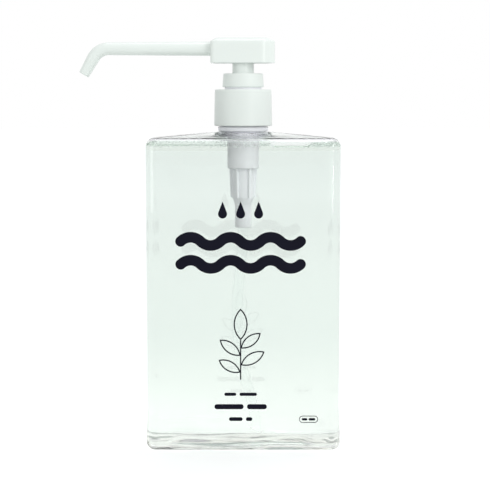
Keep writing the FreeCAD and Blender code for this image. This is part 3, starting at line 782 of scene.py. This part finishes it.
class PUMPBOTTLE_OT_soap(bpy.types.Operator):
    """Fill the bottle with clear soap and put froth on it"""

    bl_idname = "pump_bottle.soap"
    bl_label = "Soap and froth"

    def execute(self, context):
        s = context.scene.pump_bottle
        body, soap = s.body, s.soap
        inset = body.wall - soap.overlap
        floor_z = body.floor - soap.overlap
        rows = np.concatenate([base_rows(body, inset, floor_z),
                               side_rows(body, inset, floor_z)[1:]])
        rows = wavy_floor(rows, body.floor_wave)
        below = rows[rows[:, 0, 2] < soap.level - 0.004]
        half_x, half_y = body.width / 2 - inset, body.depth / 2 - inset
        climb = []
        for t in np.linspace(0, 1, 7):
            d = 0.0012 * t
            ring = outline_ring(half_x - d, half_y - d, body.corner - inset - d)
            climb.append(level(ring, soap.level + soap.meniscus * (1 - t) ** 2))
        edge = climb[-1]
        pole = edge * np.array([0.0, 0.0, 1.0])
        top = np.concatenate([np.stack(climb), blend_rows(edge, pole, 40)[1:]])
        x, y = top[..., 0], top[..., 1]
        calm = np.clip(np.linspace(0, 3, len(top)), 0, 1)[:, None]
        ripple = np.sin(x * 300 + 2 * np.sin(y * 240)) + np.sin(y * 420 - x * 120)
        top[..., 2] += froth_rise(soap, x) + 0.00008 * calm * ripple
        near = np.clip(body.top_round - body.wall - distance_in(body, inset, x, y), 0, None)
        room = body.edge_z - body.wall - 0.00012 - near * 0.55
        top[..., 2] = np.minimum(top[..., 2], room)
        top[-1, :, 2] = top[-1, 0, 2]
        block = np.concatenate([below, top])
        piece("soap_fill", [(block, False)], clear_soap(soap, body), "bottle",
              ("liquid_soap",), sharp=60)
        mesh = froth_mesh("soap_froth", froth_balls(soap, body))
        finished("soap_froth", mesh, froth_air(), "bottle", (), 80)
        return {"FINISHED"}


def froth_mesh(name, balls):
    """All bubbles in one mesh."""
    count, rows, columns = balls.shape[:3]
    shift = (np.arange(count) * rows * columns)[:, None, None]
    quads = (grid_quads(rows, columns, False)[None] + shift).reshape(-1, 4)
    return solid_mesh(name, balls.reshape(-1, 3), quads)


# Pump


class PUMPBOTTLE_OT_closure(bpy.types.Operator):
    """Build the screw closure and the lock ring above it"""

    bl_idname = "pump_bottle.closure"
    bl_label = "Closure and lock ring"

    def execute(self, context):
        s = context.scene.pump_bottle
        pump, neck = s.pump, s.neck
        white = white_plastic(pump)
        bore = neck.radius + neck.thread + 0.0005
        roof, hole = pump.closure_top_z - 0.0016, 0.0089
        outline = softened(
            [(bore, pump.closure_z), (pump.closure_bottom, pump.closure_z),
             (pump.closure_top, pump.closure_top_z),
             (hole, pump.closure_top_z), (hole, roof), (bore, roof)],
            (0.0002, 0.0005, 0.0007, 0.0002, 0, 0.0003), 8)
        grid = turned(divided(outline, 0.0004))
        theta = np.arctan2(grid[..., 1], grid[..., 0]) % (2 * np.pi)
        radius = np.hypot(grid[..., 0], grid[..., 1])
        start = s.body.edge_z + s.body.rise + neck.thread_start - neck.pitch / 2
        inner = np.abs(radius - bore) < 1e-5
        depth = np.where(inner, 0.00125 * thread_height(theta, grid[..., 2], neck, start), 0)
        grid[..., :2] *= ((radius - depth) / radius)[..., None]
        piece("screw_closure", [(grid, True)], white, "closure", ("closure",))
        z0, z1 = pump.ring_z, pump.ring_top_z
        collar_top, guide, guide_top = z1 - 0.0013, GUIDE_Z, GUIDE_Z + 0.0025
        ring = softened(
            [(0.0038, guide), (0.00633, guide), (0.00633, collar_top), (0.00812, collar_top),
             (0.00812, z0),
             (0.0099, z0), (0.0094, z1), (0.00525, z1), (0.00525, guide_top), (0.0038, guide_top)],
            (0, 0.0002, 0, 0, 0.0001, 0.00035, 0.0005, 0.0003, 0, 0), 8)
        piece("lock_collar", [(turned(divided(ring, 0.002)), True)], white, "pump_unit",
              ("lock_ring",))
        return {"FINISHED"}


def head_ring(pump, inset, z):
    """The head seen from above at an inset: a half circle at the back end and two rounded corners
    at the spout's end, joined by evenly divided sides."""
    half = pump.head_depth / 2 - inset
    x0 = HEAD_X - pump.head_length / 2 + inset
    x1 = HEAD_X + pump.head_length / 2 - pump.head_depth / 2
    c = 0.002 - 0.3 * inset
    t = np.linspace(-np.pi / 2, np.pi / 2, 41)
    back = np.stack([x1 + half * np.cos(t), half * np.sin(t)], 1)
    a = np.linspace(np.pi / 2, np.pi, 9)
    left = np.stack([x0 + c + c * np.cos(a), half - c + c * np.sin(a)], 1)
    right = left[::-1] * np.array([1.0, -1.0])
    s = np.linspace(0, 1, 14)[1:-1, None]
    sides = [back[-1] + s * (left[0] - back[-1]), left[-1] + s * (right[0] - left[-1]),
             right[-1] + s * (back[0] - right[-1])]
    return level(np.concatenate([back, sides[0], left, sides[1], right, sides[2]]), z)


class PUMPBOTTLE_OT_head(bpy.types.Operator):
    """Build the pump head: a hollow cap with its hub and the boss for the spout"""

    bl_idname = "pump_bottle.head"
    bl_label = "Pump head"

    def execute(self, context):
        pump = context.scene.pump_bottle.pump
        z0, z1 = pump.head_z, pump.head_z + pump.head_tall
        r, wall, lip = 0.0006, HEAD_WALL, 0.0003
        a = np.linspace(0, np.pi / 2, 10)
        brow = z1 - pump.head_round
        swell = 1 - np.linspace(0, 1, 12)[1:]
        inset = np.concatenate([r * (1 - np.cos(a)), r + 0.0040 * (1 - swell)])
        z = np.concatenate([brow - r + r * np.sin(a), brow + pump.head_round * (1 - swell ** 2.4)])
        top_edge = head_ring(pump, inset[-1], z1)
        centre = top_edge * 0 + np.array([HEAD_X, 0.0, z1])
        top = blend_rows(centre, top_edge, 12)
        rounds = np.stack([head_ring(pump, d, h) for d, h in zip(inset[::-1], z[::-1])])
        side = np.stack([head_ring(pump, 0, h) for h in np.linspace(brow - r, z0 + lip, 8)[1:]])
        rim = np.stack([head_ring(pump, lip * (1 - np.cos(b)),
                                  z0 + lip * (1 - np.sin(b))) for b in a[1:]])
        under = brow - wall / 2
        back_up = np.stack([head_ring(pump, wall, h) for h in (z0, z0 + lip, z0 + 0.005,
                                                               under - 0.0004)])
        ceiling_edge = head_ring(pump, wall + 0.0004, under)
        ceiling = blend_rows(ceiling_edge, ceiling_edge * 0 + np.array([HEAD_X, 0.0, under]), 8)
        shell = np.concatenate([top, rounds[1:], side, rim, back_up, ceiling])
        hub_z = pump.ring_top_z - 0.011
        hub_in, hub_out, hub_top = 0.00372, 0.00515, under + 0.0002
        hub = softened([(hub_in, hub_z), (hub_out, hub_z), (hub_out, hub_top), (hub_in, hub_top)],
                       (0.0002, 0.0002, 0, 0), 4)
        end_x = HEAD_X - pump.head_length / 2
        boss = np.linspace(0, 1, 6)
        centres = np.stack([-0.004 + (end_x + wall / 2 + 0.004) * boss, 0 * boss,
                            0 * boss + pump.spout_z], 1)
        straight = np.full(6, np.pi)
        out = carried(centres, straight, np.full(6, 0.0039), 32)
        back = carried(centres[::-1], straight, np.full(6, 0.0025), 32)
        parts = [(shell, False), (turned(divided(hub, 0.003), 64), True),
                 (np.concatenate([out, back]), True)]
        piece("pump_head", parts, glossy_plastic(pump), "actuator",
              ("actuator_head",))
        return {"FINISHED"}


def spout_start(pump):
    """Where the spout begins inside the head, and how far from there its bend starts."""
    start_x = HEAD_X - pump.head_length / 2 + SPOUT_PRESSED_IN
    return start_x, start_x + pump.spout_reach - pump.spout_bend * math.tan(pump.spout_angle / 2)


def spout_path(pump, s):
    """A point and a heading at each distance along the spout: straight along -X, then an arc that
    turns down, then straight again."""
    bend, angle = pump.spout_bend, pump.spout_angle
    start_x, first = spout_start(pump)
    turn = np.clip((s - first) / bend, 0, angle)
    ahead = np.minimum(s, first)
    rest = np.maximum(s - first - bend * angle, 0)
    x = start_x - ahead - bend * np.sin(turn) - rest * math.cos(angle)
    z = pump.spout_z - bend * (1 - np.cos(turn)) - rest * math.sin(angle)
    return np.stack([x, 0 * x, z], 1), np.pi + turn


class PUMPBOTTLE_OT_spout(bpy.types.Operator):
    """Build the long spout with its bend, bore and rounded mouth"""

    bl_idname = "pump_bottle.spout"
    bl_label = "Spout"

    def execute(self, context):
        pump = context.scene.pump_bottle.pump
        first = spout_start(pump)[1]
        bent = first + pump.spout_bend * pump.spout_angle
        total = bent + pump.spout_drop
        bore, lip, plug, mouth = SPOUT_BORE, 0.0003, 0.0025, 0.00255
        a = np.linspace(0, np.pi / 2, 5)
        run = np.linspace(SPOUT_PRESSED_IN, first, 30)
        bend = np.linspace(first, bent, 22)[1:]
        end = np.linspace(bend[-1], total - lip, 12)[1:]
        outside = np.concatenate([run, bend, end])
        taper = np.interp(outside, [SPOUT_PRESSED_IN, first, bend[-1], total],
                          [0.0034, 0.00305, 0.00305, mouth])
        s = np.concatenate([[0, 0, SPOUT_PRESSED_IN], outside, total - lip + lip * np.sin(a),
                            total - lip + lip * np.cos(a), np.linspace(total - lip, 0.0001, 50)])
        r = np.concatenate([[bore, plug, plug], taper, mouth - lip * (1 - np.cos(a)),
                            bore + lip * (1 - np.sin(a)), np.full(50, bore)])
        centres, headings = spout_path(pump, s)
        grid = carried(centres, headings, r, 48)
        piece("spout_tube", [(grid, True)], glossy_plastic(pump), "actuator",
              ("nozzle_tube",))
        return {"FINISHED"}


def rib_grid(angle, z0, z1, r0, r1, root, half):
    """One upright rib: a rounded strip whose outer edge leans out from its foot to its top."""
    z = np.linspace(z0, z1, 8)
    out = r0 + (r1 - r0) * (z - z0) / (z1 - z0)
    a = np.linspace(-np.pi / 2, np.pi / 2, 7)
    u = np.concatenate([np.full((8, 1), root),
                        (out - half * 0.6)[:, None] + half * 0.6 * np.cos(a), np.full((8, 1),
                                                                                      root)], 1)
    v = np.concatenate([[-half], half * np.sin(a), [half]])
    c, s = math.cos(angle), math.sin(angle)
    grid = np.stack([u * c - v * s, u * s + v * c, np.repeat(z[:, None], len(v), 1)], 2)
    low, high = (grid[:1].mean(1, keepdims=True) + 0 * grid[:1],
                 grid[-1:].mean(1, keepdims=True) + 0 * grid[-1:])
    return np.concatenate([low, grid, high])


class PUMPBOTTLE_OT_housing(bpy.types.Operator):
    """Build the pump's housing that hangs in the soap, with its six ribs"""

    bl_idname = "pump_bottle.housing"
    bl_label = "Pump housing"

    def execute(self, context):
        pump = context.scene.pump_bottle.pump
        radii = [HOUSING_ROUNDS.get(i, 0.0) for i in range(len(HOUSING))]
        grids = [(turned(divided(softened(HOUSING, radii, 5), 0.003)), True)]
        for i in range(6):
            rib = rib_grid(i * math.pi / 3, 0.1202, 0.134, 0.006, 0.00655, 0.0048, 0.00045)
            grids.append((rib, False))
        piece("pump_housing", grids, natural_plastic(pump), "pump_unit",
              ("housing",))
        return {"FINISHED"}


def dip_stations():
    """Distances down the dip tube at which its bows start and end, and its headings there."""
    bows = [radius * math.radians(abs(turned_by)) for radius, turned_by in TUBE_BOWS]
    at = np.concatenate([[0], np.cumsum([TUBE_STRAIGHT] + bows)])
    turns = np.radians([0.0] + [turned_by for _, turned_by in TUBE_BOWS])
    return at, -np.pi / 2 + np.concatenate([[0], np.cumsum(turns)])


def dip_path(s):
    """A point and a heading at each distance down the dip tube. The heading turns evenly along each
    bow, and the point is the running sum of the steps along it."""
    headings = np.interp(s, *dip_stations())
    middle = (headings[1:] + headings[:-1]) / 2
    step = np.diff(s)
    x = np.concatenate([[0], np.cumsum(step * np.cos(middle))])
    z = TUBE_TOP + np.concatenate([[0], np.cumsum(step * np.sin(middle))])
    return np.stack([x, 0 * x, z], 1), headings


class PUMPBOTTLE_OT_dip_tube(bpy.types.Operator):
    """Build the bowed dip tube with its slanted end"""

    bl_idname = "pump_bottle.dip_tube"
    bl_label = "Dip tube"

    def execute(self, context):
        total = dip_stations()[0][-1]
        s = np.linspace(0, total, 130)
        centres, headings = dip_path(s)
        along = np.array([math.cos(headings[-1]), 0.0, math.sin(headings[-1])])
        near = np.clip((s - (total - TUBE_SLANT_LENGTH)) / TUBE_SLANT_LENGTH, 0, 1)[:, None, None]
        phi = np.arange(TUBE_AROUND) * 2 * np.pi / TUBE_AROUND
        rings = []
        for radius, order in ((TUBE_OUTER, 1), (TUBE_INNER, -1)):
            cut = math.tan(TUBE_SLANT) * (radius * np.cos(phi) - TUBE_OUTER)
            grid = carried(centres, headings, np.full(len(s), radius), TUBE_AROUND)
            rings.append((grid + near * cut[None, :, None] * along)[::order])
        material = plastic("natural_tube", (0.985, 0.992, 0.99), 0.03, cloud=0.005, grain=0.0,
                           wave=0.0, Transmission_Weight=1.0, IOR=1.02)
        piece("dip_pipe", [(np.concatenate(rings), True)], material, "pump_unit",
              ("dip_tube",))
        return {"FINISHED"}


class PUMPBOTTLE_OT_spring(bpy.types.Operator):
    """Build the return spring as a round wire on a helix"""

    bl_idname = "pump_bottle.spring"
    bl_label = "Return spring"

    def execute(self, context):
        low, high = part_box("return_spring")
        wire, mean, coils = 0.0004, 0.0032, 8
        z0, z1 = low.z + wire, high.z - wire
        t = np.linspace(0, 2 * np.pi * coils, coils * 40 + 1)
        rise = (z1 - z0) / (2 * np.pi * coils)
        centre = np.stack([mean * np.cos(t), mean * np.sin(t), z0 + rise * t], 1)
        tangent = np.stack([-mean * np.sin(t), mean * np.cos(t), np.full_like(t, rise)], 1)
        tangent /= np.linalg.norm(tangent, axis=1, keepdims=True)
        outward = np.stack([np.cos(t), np.sin(t), 0 * t], 1)
        upward = np.cross(outward, tangent)
        sides = 12
        a = (np.arange(sides) * 2 * np.pi / sides)[None, :, None]
        grid = centre[:, None] + wire * (np.cos(a) * outward[:, None] + np.sin(a) * upward[:, None])
        caps = [np.repeat(centre[:1, None], sides, 1), grid, np.repeat(centre[-1:, None], sides, 1)]
        made = piece("coil_spring", [(np.concatenate(caps), False)], steel(), None,
                     ("return_spring",))
        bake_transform(made)
        return {"FINISHED"}


class PUMPBOTTLE_OT_inner_parts(bpy.types.Operator):
    """Give the CAD pieces that stay in view their finishes"""

    bl_idname = "pump_bottle.inner_parts"
    bl_label = "Print and inner parts"

    def execute(self, context):
        s = context.scene.pump_bottle
        finishes = {
            "front_print": screen_ink(s.decor.ink),
            "neck_gasket": plastic("gasket_foam", (0.85, 0.85, 0.82), 0.7, cloud=0.05, grain=0.6),
            "stem": white_plastic(s.pump),
            "piston_rod": white_plastic(s.pump),
            "piston": natural_plastic(s.pump),
            "inlet_ball": steel(),
        }
        for name, material in finishes.items():
            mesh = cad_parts[name].data
            mesh.materials.clear()
            mesh.materials.append(material)
        return {"FINISHED"}


# Studio


def lamp(name, place, target, watts, size):
    """A rectangular area lamp at a place, turned to face its target."""
    data = bpy.data.lights.new(name, "AREA")
    data.energy = watts
    data.shape = "RECTANGLE"
    data.size, data.size_y = size
    made = placed(name, data)
    made.location = place
    made.rotation_euler = (Vector(target) - Vector(place)).to_track_quat("-Z", "Y").to_euler()


def seen_directly(tree):
    """One for camera, mirror and clear rays, and zero for the light that falls on surfaces."""
    path = node(tree, "ShaderNodeLightPath")
    first = node(tree, "ShaderNodeMath", operation="MAXIMUM")
    second = node(tree, "ShaderNodeMath", operation="MAXIMUM")
    connect(path, "Is Camera Ray", first, 0)
    connect(path, "Is Glossy Ray", first, 1)
    connect(first, 0, second, 0)
    connect(path, "Is Transmission Ray", second, 1)
    return second.outputs[0]


def studio_world(ambient):
    """The room: white where it is seen directly, and a softer light on surfaces."""
    world = bpy.data.worlds.new("studio")
    world.use_nodes = True
    tree = world.node_tree
    tree.nodes.clear()
    seen = node(tree, "ShaderNodeBackground", inputs={"Color": (1, 1, 1, 1), "Strength": 1.0})
    room = node(tree, "ShaderNodeBackground",
                inputs={"Color": (0.97, 1.0, 0.985, 1), "Strength": ambient})
    mix = node(tree, "ShaderNodeMixShader")
    out = node(tree, "ShaderNodeOutputWorld")
    tree.links.new(seen_directly(tree), mix.inputs[0])
    connect(room, 0, mix, 1)
    connect(seen, 0, mix, 2)
    connect(mix, 0, out, "Surface")
    bpy.context.scene.world = world


def floor_material():
    """Pale matt floor. What sees it directly gets a little added white, more with the distance from
    the object, so that it runs into the background and keeps the shadow."""
    material, tree, shader = new_material(
        "pale_floor", Base_Color=(0.79, 0.81, 0.795, 1), Roughness=0.9, Specular_IOR_Level=0.0)
    material.cycles.emission_sampling = "NONE"
    where = node(tree, "ShaderNodeTexCoord")
    reach = node(tree, "ShaderNodeVectorMath", operation="LENGTH")
    connect(where, "Object", reach, 0)
    glow = node(tree, "ShaderNodeMapRange",
                inputs={"From Min": 0.1, "From Max": 1.6, "To Min": 0.28, "To Max": 0.53})
    connect(reach, "Value", glow, "Value")
    strength = node(tree, "ShaderNodeMath", operation="MULTIPLY")
    connect(glow, "Result", strength, 0)
    tree.links.new(seen_directly(tree), strength.inputs[1])
    # Painted shade colour: the floor leans green and the added light lilac, so that the shadow on the floor
    # turns lilac.
    light = node(tree, "ShaderNodeEmission", inputs={"Color": (1.0, 0.97, 1.03, 1)})
    connect(strength, 0, light, "Strength")
    add = node(tree, "ShaderNodeAddShader")
    connect(shader, 0, add, 0)
    connect(light, 0, add, 1)
    connect(add, 0, tree.nodes["Material Output"], "Surface")
    return material


def ceiling_card(height, radius, grey):
    """A grey card overhead that only mirror and clear rays see. It draws the edges of the clear
    plastic as soft grey lines, as the unlit part of a studio does."""
    count = 32
    ring = circle_ring(radius, np.arange(count) * 2 * np.pi / count, height)
    mesh = bpy.data.meshes.new("ceiling_card")
    mesh.from_pydata(ring.tolist(), [], [list(range(count))[::-1]])
    material, _, _ = new_material(
        "grey_card", Base_Color=(0, 0, 0, 1), Specular_IOR_Level=0.0, Emission_Color=(*grey, 1),
        Emission_Strength=1.0)
    material.cycles.emission_sampling = "NONE"
    mesh.materials.append(material)
    card = placed("ceiling_card", mesh)
    card.visible_camera = card.visible_diffuse = card.visible_shadow = False


def pale_floor(radii=(0, 0.2, 0.5, 1.2, 3.0, 6.0), around=64):
    """A round level floor a tenth of a millimetre under the bottle, made of rings."""
    bearings = np.arange(around) * 2 * np.pi / around
    grid = circle_rows(bearings, [(r, -0.0001) for r in radii])
    mesh = bpy.data.meshes.new("floor")
    quads = grid_quads(len(radii), around, False)
    mesh.from_pydata(grid.reshape(-1, 3).tolist(), [], quads.tolist())
    mesh.materials.append(floor_material())
    placed("floor", mesh)


class PUMPBOTTLE_OT_studio(bpy.types.Operator):
    """Set up the floor, the lamps, the room's light and the camera"""

    bl_idname = "pump_bottle.studio"
    bl_label = "Studio"

    def execute(self, context):
        studio = context.scene.pump_bottle.studio
        scene = context.scene
        scene.view_settings.view_transform = "Standard"
        pale_floor()
        studio_world(studio.ambient)
        ceiling_card(1.5, 2.0, (0.66, 0.63, 0.70))
        for name, place, target, size in LAMPS:
            lamp(name, place, target, getattr(studio, name), size)
        for name, value in LIGHT_PATHS.items():
            setattr(scene.cycles, name, value)
        data = bpy.data.cameras.new("camera")
        data.lens = studio.lens
        data.sensor_width = 36.0
        camera = placed("camera", data)
        camera.location = (studio.camera_x, -studio.camera_y, studio.camera_z)
        camera.rotation_euler = (math.pi / 2 - studio.camera_tilt, 0, 0)
        scene.camera = camera
        return {"FINISHED"}


class PUMPBOTTLE_PT_panel(bpy.types.Panel):
    """Lists the steps that build the bottle, and its main sizes and colours"""

    bl_idname = "PUMPBOTTLE_PT_panel"
    bl_label = "Pump Bottle"
    bl_space_type = "VIEW_3D"
    bl_region_type = "UI"
    bl_category = "Pump Bottle"

    def draw(self, context):
        settings = context.scene.pump_bottle
        for step in STEPS:
            self.layout.operator(step.bl_idname)
        for group in (settings.body, settings.soap, settings.pump, settings.decor, settings.studio):
            box = self.layout.box()
            for name in group.bl_rna.properties.keys():
                if name not in ("rna_type", "name"):
                    box.prop(group, name)


GROUPS = (BodySettings, NeckSettings, SoapSettings, PumpSettings, PrintSettings, StudioSettings,
          BottleSettings)
STEPS = (
    PUMPBOTTLE_OT_bottle,
    PUMPBOTTLE_OT_soap,
    PUMPBOTTLE_OT_closure,
    PUMPBOTTLE_OT_head,
    PUMPBOTTLE_OT_spout,
    PUMPBOTTLE_OT_housing,
    PUMPBOTTLE_OT_dip_tube,
    PUMPBOTTLE_OT_spring,
    PUMPBOTTLE_OT_inner_parts,
    PUMPBOTTLE_OT_studio,
)


def register():
    """Registers the classes and the settings."""
    for part in GROUPS + STEPS + (PUMPBOTTLE_PT_panel,):
        bpy.utils.register_class(part)
    bpy.types.Scene.pump_bottle = PointerProperty(type=BottleSettings, name="Pump bottle",
                                                  description="Settings of the pump bottle")


def unregister():
    """Takes the settings and the classes out again."""
    del bpy.types.Scene.pump_bottle
    for part in reversed(GROUPS + STEPS + (PUMPBOTTLE_PT_panel,)):
        bpy.utils.unregister_class(part)


def main():
    """Runs every step in order."""
    register()
    for part in STEPS:
        space, name = part.bl_idname.split(".")
        getattr(getattr(bpy.ops, space), name)()


if __name__ == "__main__":
    main()
